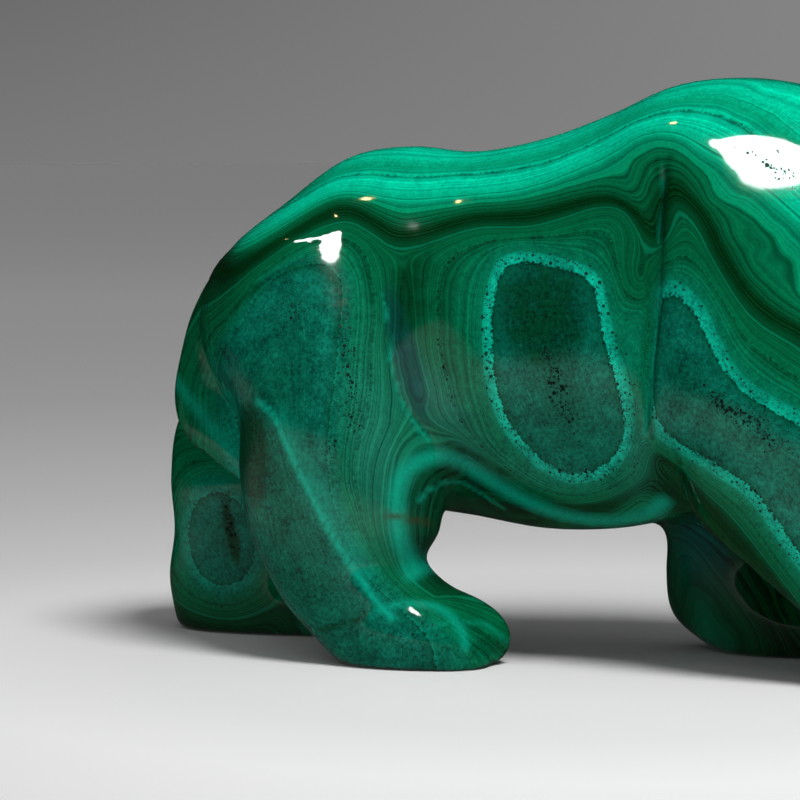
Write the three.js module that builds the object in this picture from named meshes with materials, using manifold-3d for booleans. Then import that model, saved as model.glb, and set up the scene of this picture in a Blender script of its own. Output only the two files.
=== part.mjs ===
// A prowling panther carved from one block of banded malachite and polished all over.
//
// Millimetres, +Z up, +X towards the nose, +Y towards the animal's left side.
// The origin is on the table, in the animal's plane of symmetry and at the middle of its length.
//
// The forms of the animal are lofts and lumps. A loft is a list of ribs drawn in side view, with the
// thickness that the form has across the animal at each rib. Each form gives the distance from its
// surface to any point, the distances flow together as a carver's rounded joins do, and the skin of
// the whole is netted over the points where the distance is nought. The soles are then lapped flat.

import * as THREE from "three";
import { mergeVertices } from "three/addons/utils/BufferGeometryUtils.js";
import Module from "manifold-3d";

const wasm = await Module();
wasm.setup();

// Size of the facets
const bodyFacet = 2.9;
const endFacet = 2.3; // at the rump, the head and the paws
const ribSamples = 60; // straight steps that a loft is divided into
const drawnMiddle = 1.2; // middle of the carving's length, in the drawing of the ribs

// A rib is [ax, az, bx, bz, y, half, square]: its two edge points in side view, the place of its
// middle across the animal, its half thickness, and the exponent of its superellipse, where 2 is an
// ellipse and more is squarer.

// From the rump to the neck, back line first and belly line second
const torsoRibs = [
  [-55.4, 41.4, -55.0, 37.4, 0, 4.0, 2.0],
  [-54.6, 46.4, -52.6, 33.0, 0, 8.8, 2.05],
  [-50.9, 50.8, -48.8, 27.6, 0, 12.6, 2.1],
  [-43.9, 58.1, -42.0, 23.0, 0, 15.4, 2.2],
  [-36.2, 63.5, -34.5, 20.5, 0, 15.3, 2.2],
  [-28.2, 64.9, -27.0, 18.6, 0, 15.3, 2.2],
  [-19.5, 64.3, -19.0, 17.6, 0, 15.2, 2.2],
  [-10.0, 66.1, -9.5, 16.3, 0, 15.6, 2.3],
  [-1.0, 69.3, 0.0, 16.7, 0, 16.3, 2.5],
  [7.5, 72.8, 9.5, 18.6, 0, 16.8, 2.9],
  [15.5, 73.7, 19.0, 19.0, 0, 16.9, 3.3],
  [23.5, 72.6, 29.0, 20.0, 0, 16.0, 3.3],
  [31.5, 70.0, 37.0, 23.5, 0, 14.3, 2.9],
  [38.5, 66.2, 43.0, 28.5, 0, 12.6, 2.5],
  [44.5, 62.2, 47.0, 33.5, 0, 11.6, 2.1],
];

// From the nape to the nose, brow line first and jaw line second
const headRibs = [
  [41.0, 61.4, 44.0, 37.0, 0, 11.0, 2.1],
  [46.0, 62.6, 48.0, 35.8, 0, 12.2, 2.2],
  [51.0, 62.6, 52.0, 35.0, 0, 12.6, 2.3],
  [55.6, 60.9, 56.0, 34.8, 0, 11.6, 2.3],
  [59.8, 57.8, 60.0, 35.0, 0, 9.8, 2.4],
  [63.4, 55.2, 63.4, 35.8, 0, 8.6, 2.5],
  [66.4, 53.2, 66.0, 37.2, 0, 7.6, 2.6],
];

// Legs run from inside the body to below the soles, back edge first and front edge second
const nearHindRibs = [
  [-48.8, 50.8, -31.8, 53.8, -7.2, 7.6, 2.3],
  [-49.6, 39.5, -26.2, 42.0, -10.3, 8.9, 2.4],
  [-47.2, 31.8, -24.4, 33.0, -11.2, 8.6, 2.4],
  [-47.1, 24.0, -21.0, 25.2, -11.6, 8.2, 2.4],
  [-46.0, 17.0, -20.8, 17.4, -12.0, 7.8, 2.4],
  [-43.6, 11.8, -22.6, 13.0, -12.2, 7.5, 2.4],
  [-40.6, 7.0, -19.4, 9.6, -12.2, 7.4, 2.4],
  [-36.4, 2.6, -15.4, 6.4, -12.2, 7.2, 2.4],
  [-32.0, -2.0, -13.4, 0.6, -12.2, 6.8, 2.4],
];
const farHindRibs = [
  [-50.6, 44.6, -33.6, 48.0, 9.2, 8.2, 2.3],
  [-58.8, 35.4, -37.5, 40.0, 11.2, 7.6, 2.4],
  [-64.7, 28.0, -41.5, 30.5, 12.4, 7.0, 2.4],
  [-65.5, 20.5, -44.5, 21.5, 11.8, 7.9, 2.4],
  [-65.1, 13.5, -46.0, 13.5, 12.0, 7.7, 2.4],
  [-66.0, 7.0, -44.0, 8.5, 12.2, 7.5, 2.4],
  [-65.2, 1.5, -40.5, 5.0, 12.2, 7.2, 2.4],
  [-63.8, -3.0, -38.0, -0.5, 12.2, 6.8, 2.4],
];
const nearFrontRibs = [
  [7.8, 50.0, 31.0, 53.0, -9.0, 8.4, 2.3],
  [8.4, 38.5, 34.5, 42.5, -10.6, 8.6, 2.4],
  [9.3, 28.5, 37.0, 33.5, -11.8, 8.2, 2.4],
  [12.8, 19.8, 38.2, 26.6, -12.2, 7.7, 2.4],
  [19.5, 14.1, 40.8, 21.2, -12.4, 7.4, 2.4],
  [26.0, 8.7, 44.0, 15.0, -12.6, 7.2, 2.4],
  [31.2, 3.6, 49.0, 9.6, -12.8, 7.0, 2.4],
  [34.2, -1.6, 52.4, 3.6, -12.8, 6.6, 2.4],
];
const farFrontRibs = [
  [6.4, 48.0, 27.5, 50.5, 9.8, 8.8, 2.3],
  [4.8, 37.0, 26.0, 39.0, 11.0, 8.6, 2.4],
  [3.4, 27.0, 22.8, 29.0, 11.8, 8.0, 2.4],
  [3.3, 17.5, 19.0, 19.5, 12.2, 7.5, 2.4],
  [2.6, 10.2, 18.2, 13.2, 12.4, 7.2, 2.4],
  [3.6, 4.4, 21.4, 9.4, 12.4, 7.1, 2.4],
  [8.6, 0.2, 27.0, 6.4, 12.4, 7.0, 2.4],
  [13.4, -3.4, 30.6, 0.6, 12.4, 6.6, 2.4],
];

// The tail comes off the top of the rump and tucks forward between the hind legs
const tailRibs = [
  [-46.0, 52.6, -41.0, 43.0, 0.2, 5.4, 2.1],
  [-53.5, 49.4, -43.0, 40.5, 0.4, 5.8, 2.1],
  [-58.1, 43.9, -45.0, 37.5, 0.8, 5.4, 2.1],
  [-60.2, 37.6, -46.5, 34.5, 1.0, 4.8, 2.2],
  [-61.0, 31.8, -48.0, 32.6, 0.6, 4.2, 2.2],
  [-59.2, 27.0, -48.4, 31.4, -0.6, 3.7, 2.2],
  [-54.6, 23.8, -46.8, 30.0, -2.0, 3.3, 2.2],
  [-50.0, 21.2, -43.6, 27.6, -3.6, 3.0, 2.2],
];

// Lofts: ribs, length of the round start and of the round end, and width of the join to the rest
const lofts = [
  [torsoRibs, 0.8, 3, 0],
  [headRibs, 3, 1.8, 4],
  [nearHindRibs, 4, 1, 5.5],
  [farHindRibs, 8, 1, 6],
  [nearFrontRibs, 8, 1, 8],
  [farFrontRibs, 10, 1, 7],
  [tailRibs, 2, 1.6, 2.6],
];

// Lumps: centre, radii, lean towards the nose and lean outwards in degrees, join width
const headLumps = [
  [[63.4, 4.2, 43.8], [4.6, 5.0, 5.4], 0, 0, 2.4], // muzzle
  [[51.4, 7.8, 46.0], [7.4, 5.8, 9.0], 0, 0, 4.0], // cheek
];
const ears = [[46.4, 8.4, 60.2], [2.6, 4.3, 4.6], -14, 26];
const toeLumps = [
  [[-24.6, -15.3, 3.7], [9.4, 4.3, 4.8], 4, 0, 1.6], // near hind, outer
  [[-20.2, -9.4, 3.9], [8.2, 4.0, 5.2], 8, 0, 1.6], // near hind, inner
  [[41.6, -16.0, 3.9], [9.6, 4.4, 4.8], 4, 0, 1.6], // near front, outer
  [[44.6, -10.0, 4.2], [8.4, 4.0, 5.4], 8, 0, 1.6], // near front, inner
  [[-48.4, 15.6, 3.7], [9.0, 4.4, 4.6], 4, 0, 1.6], // far hind, outer
  [[-45.4, 9.6, 4.0], [8.4, 4.0, 5.0], 6, 0, 1.6], // far hind, inner
  [[21.2, 15.8, 3.8], [9.4, 4.4, 4.8], 4, 0, 1.6], // far front, outer
  [[24.2, 9.8, 4.2], [8.4, 4.0, 5.2], 8, 0, 1.6], // far front, inner
];
const lumps = [
  ...headLumps,
  ...headLumps.map(([[x, y, z], radii, nose, out, join]) => [[x, -y, z], radii, nose, -out, join]),
  ...toeLumps,
];

// Hollows: lumps that are scooped out instead of added
const hollows = [
  [[-20.6, -19.6, 36.0], [3.4, 3.6, 13.0], 12, 0, 4.0], // before the near thigh
  [[-25.0, 19.6, 36.0], [3.4, 3.6, 13.0], 4, 0, 4.0], // before the far thigh
];

// Grooves behind the shoulders: side of the animal, line in side view, half width and depth
const shoulderLine = [[10.2, 64], [9.5, 58.8], [9, 52.8], [8.6, 46], [8.4, 39], [8.6, 32], [9.4, 26.5], [11, 22]];
const grooves = [
  [-1, shoulderLine, 1.7, 1.7],
  [1, shoulderLine.map(([x, z]) => [x - 3.4, z]), 1.7, 1.7],
];

// Value of a list of ribs at t, from 0 at the first rib to 1 at the last: a Catmull-Rom spline
// through the ribs, each number on its own.
function ribAt(ribs, t) {
  const s = t * (ribs.length - 1);
  const i = Math.min(Math.floor(s), ribs.length - 2);
  const f = s - i;
  const p1 = ribs[i];
  const p2 = ribs[i + 1];
  const p0 = i > 0 ? ribs[i - 1] : p1.map((v, k) => 2 * v - p2[k]);
  const p3 = i + 2 < ribs.length ? ribs[i + 2] : p2.map((v, k) => 2 * v - p1[k]);
  return p1.map((v, k) => {
    const slope1 = (p2[k] - p0[k]) / 2;
    const slope2 = (p3[k] - v) / 2;
    const rise = p2[k] - v;
    return v + f * (slope1 + f * (3 * rise - 2 * slope1 - slope2 + f * (slope1 + slope2 - 2 * rise)));
  });
}

// Distance from the surface of a superellipsoid along the line from its middle, where offsets are
// those from the middle and sizes are the half axes
function beyond(offsets, sizes, power) {
  const gauge = offsets.reduce((sum, o, n) => sum + Math.abs(o / sizes[n]) ** power, 0) ** (1 / power);
  const reach = Math.hypot(...offsets);
  return reach - reach / Math.max(gauge, 1e-6);
}

// Distance from a loft. A point belongs to the rib whose line passes through it in side view, or to
// the first or last rib where it is past them.
function loftDistance(ribs, startCap, endCap) {
  const rows = [];
  for (let k = 0; k <= ribSamples; k++) {
    const [ax, az, bx, bz, y, half, square] = ribAt(ribs, k / ribSamples);
    rows.push([(ax + bx) / 2, (az + bz) / 2, (ax - bx) / 2, (az - bz) / 2, y, half, square]);
  }
  const first = rows[0];
  const last = rows[ribSamples];
  const turn = Math.sign((last[0] - first[0]) * first[3] - (last[1] - first[1]) * first[2]);
  const ahead = (row, x, z) => turn * ((x - row[0]) * row[3] - (z - row[1]) * row[2]);
  // a slanting rib is as far across as it looks along the loft
  rows.forEach((row, k) => {
    const from = rows[Math.max(k - 1, 0)];
    const to = rows[Math.min(k + 1, ribSamples)];
    const run = [to[0] - from[0], to[1] - from[1]];
    row.push(Math.abs(run[0] * row[3] - run[1] * row[2]) / Math.hypot(...run));
  });
  const distance = ([mx, mz, wx, wz, middle, half, square, width], over, cap, x, y, z) => {
    const u = ((x - mx) * wx + (z - mz) * wz) / (wx * wx + wz * wz);
    return beyond([u * width, y - middle, over], [width, half, cap], square);
  };
  return (x, y, z) => {
    let before = ahead(first, x, z);
    let best = Infinity;
    if (before < 0) best = distance(first, before / Math.hypot(first[2], first[3]), startCap, x, y, z);
    for (let k = 1; k <= ribSamples; k++) {
      const after = ahead(rows[k], x, z);
      if (before >= 0 && after < 0) {
        const f = before / (before - after);
        const row = rows[k - 1].map((value, n) => value + f * (rows[k][n] - value));
        best = Math.min(best, distance(row, 0, 1, x, y, z));
      }
      before = after;
    }
    if (before >= 0)
      best = Math.min(best, distance(last, before / Math.hypot(last[2], last[3]), endCap, x, y, z));
    return best;
  };
}

// Distance from a lump
function lumpDistance(centre, radii, leanNose, leanOut) {
  const turn = new THREE.Matrix4()
    .makeRotationX(THREE.MathUtils.degToRad(-leanOut))
    .multiply(new THREE.Matrix4().makeRotationY(THREE.MathUtils.degToRad(leanNose)))
    .transpose();
  const p = new THREE.Vector3();
  return (x, y, z) => {
    p.set(x - centre[0], y - centre[1], z - centre[2]).applyMatrix4(turn);
    return beyond([p.x, p.y, p.z], radii, 2);
  };
}

const loftForm = ([ribs, startCap, endCap, width]) => [loftDistance(ribs, startCap, endCap), width];
const lumpForm = ([centre, radii, nose, out, width]) => [lumpDistance(centre, radii, nose, out), width];
const added = [...lofts.map(loftForm), ...lumps.map(lumpForm)];
const scooped = hollows.map(lumpForm);

// Lesser of two distances, with a fillet of the given width where they are nearly equal
function join(d, e, width) {
  const near = Math.max(width - Math.abs(d - e), 0);
  return Math.min(d, e) - (width > 0 ? (near * near) / (4 * width) : 0);
}

// Distance from the skin of the whole
function skin(x, y, z) {
  const full = added.reduce((d, [form, width]) => join(d, form(x, y, z), width), 1e3);
  return scooped.reduce((d, [form, width]) => -join(-d, form(x, y, z), width), full);
}

// Evenly spaced numbers from one to another, at most a step apart
function spaced(from, to, step) {
  const count = Math.ceil((to - from) / step);
  return Array.from({ length: count + 1 }, (_, i) => from + ((to - from) * i) / count);
}

// Closed mesh over the points where the distance is nought: one point in each grid cell that the
// skin passes through, drawn on to the skin, and a quad across each grid edge that it cuts
function net(distance, grid) {
  const count = grid.map((line) => line.length);
  const at = (i, j, k) => (k * count[1] + j) * count[0] + i;
  const value = new Float64Array(count[0] * count[1] * count[2]);
  for (let k = 0; k < count[2]; k++)
    for (let j = 0; j < count[1]; j++)
      for (let i = 0; i < count[0]; i++) value[at(i, j, k)] = distance(grid[0][i], grid[1][j], grid[2][k]);

  const corners = [0, 1, 2, 3, 4, 5, 6, 7].map((c) => [c & 1, (c >> 1) & 1, c >> 2]);
  const edges = [];
  for (let a = 0; a < 8; a++) for (const bit of [1, 2, 4]) if (!(a & bit)) edges.push([a, a | bit]);
  const pointOf = new Map();
  const points = [];
  for (let k = 0; k + 1 < count[2]; k++)
    for (let j = 0; j + 1 < count[1]; j++)
      for (let i = 0; i + 1 < count[0]; i++) {
        const here = corners.map(([a, b, c]) => value[at(i + a, j + b, k + c)]);
        const cuts = edges.filter(([a, b]) => here[a] < 0 !== here[b] < 0);
        if (cuts.length === 0) continue;
        const p = [0, 0, 0];
        for (const [a, b] of cuts) {
          const f = here[a] / (here[a] - here[b]);
          [i, j, k].forEach((n, axis) => {
            const share = corners[a][axis] * (1 - f) + corners[b][axis] * f;
            const line = grid[axis];
            p[axis] += (line[n] + share * (line[n + 1] - line[n])) / cuts.length;
          });
        }
        pointOf.set(at(i, j, k), points.length / 3);
        points.push(...ontoSkin(distance, p));
      }

  const faces = [];
  const corner = (index) => new THREE.Vector3().fromArray(points, index * 3);
  for (let k = 1; k + 1 < count[2]; k++)
    for (let j = 1; j + 1 < count[1]; j++)
      for (let i = 1; i + 1 < count[0]; i++)
        for (let axis = 0; axis < 3; axis++) {
          const step = [0, 1, 2].map((n) => (n === axis ? 1 : 0));
          const inside = value[at(i, j, k)] < 0;
          if (inside === value[at(i + step[0], j + step[1], k + step[2])] < 0) continue;
          const quad = [[1, 1], [0, 1], [0, 0], [1, 0]].map(([u, v]) => {
            const cell = [i, j, k];
            cell[(axis + 1) % 3] -= u;
            cell[(axis + 2) % 3] -= v;
            return pointOf.get(at(...cell));
          });
          if (!inside) quad.reverse();
          const [a, b, c, d] = quad;
          if (corner(a).distanceTo(corner(c)) < corner(b).distanceTo(corner(d))) faces.push(a, b, c, a, c, d);
          else faces.push(a, b, d, b, c, d);
        }
  const geometry = new THREE.BufferGeometry();
  geometry.setAttribute("position", new THREE.Float32BufferAttribute(points, 3));
  geometry.setIndex(faces);
  return geometry;
}

// A point moved along the slope of the distance until it lies on the skin
function ontoSkin(distance, [x, y, z]) {
  const h = 0.05;
  for (let round = 0; round < 3; round++) {
    const d = distance(x, y, z);
    const slope = [
      (distance(x + h, y, z) - d) / h,
      (distance(x, y + h, z) - d) / h,
      (distance(x, y, z + h) - d) / h,
    ];
    const steep = slope[0] ** 2 + slope[1] ** 2 + slope[2] ** 2;
    const move = THREE.MathUtils.clamp(d, -0.5, 0.5) / Math.max(steep, 0.25);
    x -= move * slope[0];
    y -= move * slope[1];
    z -= move * slope[2];
  }
  return [x, y, z];
}

// A geometry as a manifold solid, turned right side out if its faces point inwards
function solid(geometry) {
  const bare = geometry.clone();
  bare.deleteAttribute("normal");
  bare.deleteAttribute("uv");
  const merged = mergeVertices(bare, 1e-5);
  const order = Array.from(merged.index.array);
  const build = () =>
    new wasm.Manifold(
      new wasm.Mesh({
        numProp: 3,
        vertProperties: merged.attributes.position.array,
        triVerts: new Uint32Array(order),
      }),
    );
  const made = build();
  if (made.volume() > 0) return made;
  order.reverse();
  return build();
}

// One ear, a ball stretched to its radii and leant back and outwards
function ear(side) {
  const [centre, radii, leanNose, leanOut] = ears;
  const ball = new THREE.SphereGeometry(1, 14, 10);
  ball.scale(...radii);
  ball.rotateY(THREE.MathUtils.degToRad(leanNose));
  ball.rotateX(THREE.MathUtils.degToRad(-side * leanOut));
  ball.translate(centre[0], side * centre[1], centre[2]);
  return solid(ball);
}

// Wedge that cuts a groove along a line drawn in side view, on one side of the animal. Its edge runs
// under the skin at the depth, which fades to nothing at both ends.
function grooveCutter(side, line, halfWidth, depth) {
  const above = 1.2;
  const points = [];
  const path = new THREE.CatmullRomCurve3(line.map(([x, z]) => new THREE.Vector3(x, 0, z)));
  const steps = 12;
  for (let k = 0; k <= steps; k++) {
    const { x, z } = path.getPoint(k / steps);
    const across = path.getTangent(k / steps).cross(new THREE.Vector3(0, 1, 0));
    let y = side * 26;
    while (skin(x, y, z) > 0 && y * side > 0) y -= side * 0.1;
    const deep = depth * Math.sin((Math.PI * (k + 0.25)) / (steps + 0.5));
    const half = (halfWidth * (deep + above)) / depth;
    points.push(x + across.x * half, y + side * above, z + across.z * half);
    points.push(x, y - side * deep, z);
    points.push(x - across.x * half, y + side * above, z - across.z * half);
  }
  const faces = [0, 1, 2, 3 * steps, 3 * steps + 2, 3 * steps + 1];
  for (let k = 0; k < steps; k++)
    for (let n = 0; n < 3; n++) {
      const [a, b] = [3 * k + n, 3 * k + ((n + 1) % 3)];
      faces.push(a, a + 3, b, b, a + 3, b + 3);
    }
  const geometry = new THREE.BufferGeometry();
  geometry.setAttribute("position", new THREE.Float32BufferAttribute(points, 3));
  geometry.setIndex(faces);
  return solid(geometry);
}

const grid = [
  [
    ...spaced(-72, -42, endFacet),
    ...spaced(-42, 43, bodyFacet).slice(1),
    ...spaced(43, 74, endFacet).slice(1),
  ],
  spaced(-25.5, 25.5, bodyFacet),
  [...spaced(-8, 10, endFacet), ...spaced(10, 78, bodyFacet).slice(1)],
];
const under = new THREE.BoxGeometry(200, 100, 20).translate(0, 0, -10);
const carving = grooves.reduce(
  (stone, groove) => stone.subtract(grooveCutter(...groove)),
  solid(net(skin, grid)).add(ear(1)).add(ear(-1)).subtract(solid(under)),
);

const cut = carving.getMesh();
const geometry = new THREE.BufferGeometry();
geometry.setAttribute("position", new THREE.BufferAttribute(new Float32Array(cut.vertProperties), 3));
geometry.setIndex(new THREE.BufferAttribute(new Uint32Array(cut.triVerts), 1));
geometry.translate(-drawnMiddle, 0, 0);
geometry.computeVertexNormals();

const malachite = new THREE.MeshStandardMaterial({ color: 0x0c7a56, roughness: 0.08, metalness: 0 });
const panther = new THREE.Mesh(geometry, malachite);
panther.name = "panther";

const group = new THREE.Group();
group.add(panther);

export default group;
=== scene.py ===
# A prowling panther carved in banded malachite, on a pale studio floor.
import math
import time

import bpy
import numpy as np
from mathutils import Matrix, Vector


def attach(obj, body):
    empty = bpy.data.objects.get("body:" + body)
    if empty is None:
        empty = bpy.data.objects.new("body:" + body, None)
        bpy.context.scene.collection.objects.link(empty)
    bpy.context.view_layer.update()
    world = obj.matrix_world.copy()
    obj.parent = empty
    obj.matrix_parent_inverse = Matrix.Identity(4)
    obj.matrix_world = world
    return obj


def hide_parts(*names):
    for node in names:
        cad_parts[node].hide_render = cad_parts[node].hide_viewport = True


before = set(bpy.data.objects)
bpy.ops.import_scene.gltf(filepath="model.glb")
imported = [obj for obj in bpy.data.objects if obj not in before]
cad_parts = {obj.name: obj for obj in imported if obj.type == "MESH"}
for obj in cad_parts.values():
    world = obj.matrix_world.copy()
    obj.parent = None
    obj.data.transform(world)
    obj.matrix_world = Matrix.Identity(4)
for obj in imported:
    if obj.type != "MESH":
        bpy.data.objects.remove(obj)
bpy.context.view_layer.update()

mm = 0.001  # in metres
tiny = 1e-6  # keeps a divisor from being nothing
started = time.time()


# a stage's name with the seconds since the start
def say(stage):
    print(f"stage {stage}: {time.time() - started:.1f} s")


# the carving: lofts, lumps, hollows and grooves as in the solid, in mm and degrees

carving = {
    "cell": 0.62,  # between the points of the grid that the skin is netted on
    "coarseCell": 1.1,
    "gridX": (-66.6, 69.2),  # reach of that grid
    "gridY": (-21.4, 21.4),
    "gridTop": 74.6,
    "drawnMiddle": 1.2,  # middle of the length, in the drawing of the ribs
    "ribSamples": 60,  # steps that a loft is divided into
    "soleRound": 1.5,  # width of the rounding round each sole
    "inset": 0.14,  # how far the skin lies inside the solid's
    "crispShare": 0.9,  # of a join's width that its crease takes away
    "grooveTip": 0.35,  # share of a groove's width that is left at its ends
    "grooveTaper": 0.7,  # power by which it narrows towards them
    "grooveFloor": 0.03,  # rounds the bottom of a groove, in square mm
    "slopeStep": 0.03,  # between the points that a slope is taken from
    "slopeLeast": 0.25,  # of its square, where the distance is flat
    "longestStep": 0.3,  # of a point that is drawn on to the skin
    "rounds": 2,  # of such steps
    "grooveSteps": 4,  # between two points of a groove's line
}

# a rib: two edge points in side view (ax, az, bx, bz), middle across, half thickness, exponent
torsoRibs = [
    [-55.4, 41.4, -55, 37.4, 0, 4, 2],
    [-55, 46.8, -52.6, 33, 0, 8.8, 2.05],
    [-52, 51.7, -48.8, 27.6, 0, 12.6, 2.1],
    [-43.9, 58.1, -42, 23, 0, 15.55, 2.2],
    [-36.2, 63.5, -34.5, 20.5, 0, 15.4, 2.2],
    [-28.2, 64.9, -27, 18.6, 0, 15.5, 2.2],
    [-19.5, 64.3, -19, 17.6, 0, 15.2, 2.2],
    [-10, 66.1, -9.5, 16.3, 0, 15.6, 2.3],
    [-1, 69.3, 0, 16.7, 0, 16.3, 2.5],
    [7.5, 72.8, 9.5, 18.6, 0, 16.66, 3.3],
    [15.5, 73.7, 19, 19, 0, 17.09, 3.05],
    [23.5, 72.6, 29, 20, 0, 15.65, 3.3],
    [31.5, 70, 37, 23.5, 0, 14.9, 2.8],
    [38.5, 66.2, 43, 28.5, 0, 12.6, 2.5],
    [44.5, 62.2, 47, 33.5, 0, 11.6, 2.1],
]
headRibs = [
    [41, 61.4, 44, 37, 0, 11, 2.1],
    [46, 62.6, 48, 35.8, 0, 12.2, 2.2],
    [51, 62.6, 52, 35, 0, 12.6, 2.3],
    [55.6, 60.9, 56, 34.8, 0, 11.6, 2.3],
    [59.8, 57.8, 60, 35, 0, 9.8, 2.4],
    [63.4, 55.2, 63.4, 35.8, 0, 8.6, 2.5],
    [66.4, 53.2, 66, 37.2, 0, 7.6, 2.6],
]
nearHindRibs = [
    [-48.8, 50.3, -34, 53.3, -7.65, 8.15, 2.3],
    [-49.6, 39.5, -26.2, 42, -9.85, 8.9, 2.4],
    [-47.2, 31.8, -24.4, 33, -11.2, 8.6, 2.4],
    [-47.1, 24, -21, 25.2, -11.6, 8.2, 2.4],
    [-46, 17, -20.8, 17.4, -12, 7.8, 2.4],
    [-43.6, 11.8, -22.6, 13, -12.2, 7.5, 2.4],
    [-40.6, 7, -19.4, 9.6, -12.2, 7.4, 2.4],
    [-36.4, 2.6, -15.4, 6.4, -12.2, 7.2, 2.4],
    [-32, -2, -13.4, 0.6, -12.2, 6.8, 2.4],
]
farHindRibs = [
    [-50.6, 44.6, -33.6, 48, 9.2, 8.2, 2.3],
    [-58.8, 35.4, -37.5, 40, 11.2, 7.6, 2.4],
    [-64.7, 28, -41.5, 30.5, 12.4, 7, 2.4],
    [-65.5, 20.5, -44.5, 21.5, 11.8, 7.9, 2.4],
    [-65.1, 13.5, -46, 13.5, 12, 7.7, 2.4],
    [-66, 7, -44, 8.5, 12.2, 7.5, 2.4],
    [-65.2, 1.5, -40.5, 5, 12.2, 7.2, 2.4],
    [-63.8, -3, -38, -0.5, 12.2, 6.8, 2.4],
]
nearFrontRibs = [
    [7.8, 50, 31, 53, -8.08, 7.99, 2.3],
    [8.4, 38.5, 34.5, 42.5, -10.6, 8.6, 2.4],
    [9.3, 28.5, 37, 33.5, -11.8, 8.2, 2.4],
    [12.8, 19.8, 38.2, 26.6, -12.2, 7.7, 2.4],
    [19.5, 14.1, 40.8, 21.2, -12.4, 7.4, 2.4],
    [26, 8.7, 44, 15, -12.6, 7.2, 2.4],
    [31.2, 3.6, 49, 9.6, -12.8, 7, 2.4],
    [34.2, -1.6, 52.4, 3.6, -12.8, 6.6, 2.4],
]
farFrontRibs = [
    [6.4, 48, 27.5, 50.5, 9.8, 8.8, 2.3],
    [4.8, 37, 26, 39, 11, 8.6, 2.4],
    [3.4, 27, 22.8, 29, 11.8, 8, 2.4],
    [3.3, 17.5, 19, 19.5, 12.2, 7.5, 2.4],
    [2.6, 10.2, 18.2, 13.2, 12.4, 7.2, 2.4],
    [3.6, 4.4, 21.4, 9.4, 12.4, 7.1, 2.4],
    [8.6, 0.2, 27, 6.4, 12.4, 7, 2.4],
    [13.4, -3.4, 30.6, 0.6, 12.4, 6.6, 2.4],
]
tailRibs = [
    [-46, 52.6, -41, 43, 0.2, 5.4, 2.1],
    [-53.9, 49.6, -43, 40.5, 0.4, 5.8, 2.1],
    [-58.1, 43.9, -45, 37.5, 0.8, 5.4, 2.1],
    [-60.2, 37.6, -46.5, 34.5, 1, 4.8, 2.2],
    [-61, 31.8, -48, 32.6, 0.6, 4.2, 2.2],
    [-59.2, 27, -48.4, 31.4, -0.6, 3.7, 2.2],
    [-54.6, 23.8, -46.8, 30, -2, 3.3, 2.2],
    [-50, 21.2, -43.6, 27.6, -3.6, 3, 2.2],
]
# where a join is crisp: middle in side view, half length and half height
flankCrease = [-23.5, 38.5, 6, 9.5]
elbowCrease = [13.5, 21, 6, 7]
# ribs, cap before the first, cap after the last, width of the join with what comes before, crease
lofts = [
    [torsoRibs, 0.8, 3, 0, None],
    [headRibs, 3, 1.8, 4, None],
    [nearHindRibs, 3.15, 1, 4, flankCrease],
    [farHindRibs, 8, 1, 6, None],
    [nearFrontRibs, 8, 1, 8, elbowCrease],
    [farFrontRibs, 10, 1, 7, None],
    [tailRibs, 2, 1.6, 2.6, None],
]
# centre, radii, lean towards the nose and outwards in degrees, width of the join
headLumps = [
    [[63.4, 4.2, 43.8], [4.6, 5, 5.4], 0, 0, 2.4],  # muzzle
    [[51.4, 7.8, 46], [7.4, 5.8, 9], 0, 0, 4],  # cheek
]
ears = [[[46.4, 8.6, 60.5], [2.5, 4.4, 5.6], -14, 26, 1.6]]
toeLumps = [
    [[-24.6, -15.3, 3.7], [9.4, 4.3, 4.8], 4, 0, 1.6],
    [[-20.2, -9.4, 3.9], [8.2, 4, 5.2], 8, 0, 1.6],
    [[41.6, -16, 3.9], [9.6, 4.4, 4.8], 4, 0, 1.6],
    [[44.6, -10, 4.2], [8.4, 4, 5.4], 8, 0, 1.6],
    [[-48.4, 15.6, 3.7], [9, 4.4, 4.6], 4, 0, 1.6],
    [[-45.4, 9.6, 4], [8.4, 4, 5], 6, 0, 1.6],
    [[21.2, 15.8, 3.8], [9.4, 4.4, 4.8], 4, 0, 1.6],
    [[24.2, 9.8, 4.2], [8.4, 4, 5.2], 8, 0, 1.6],
]
hollows = [
    [[-20.6, -19.6, 36], [3.4, 3.6, 13], 12, 0, 4],
    [[-25, 19.6, 36], [3.4, 3.6, 13], 4, 0, 4],
    [[67.6, -2.4, 45.6], [1.3, 1, 0.8], 0, 0, 0.6],  # nostrils
    [[67.6, 2.4, 45.6], [1.3, 1, 0.8], 0, 0, 0.6],
]
shoulderLine = [[9, 64.2], [8.8, 61.5], [8.5, 57], [8.4, 50.5], [8, 43], [7.6, 37], [7.1, 30]]
farShoulderLine = [[x - 3.4, z] for x, z in shoulderLine]
mouthLine = [[69, 41.2], [66, 40.4], [62.5, 40.2], [59.5, 41.2], [57.4, 43]]
eyeLine = [[56.6, 53.6], [58.2, 54], [60.2, 52.6], [61.2, 51], [59.6, 50.9], [57.6, 51.9], [56.6, 53.6]]
browLine = [[54.6, 54.8], [57.4, 56.3], [60.6, 54.8], [62.6, 51.6]]
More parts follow.
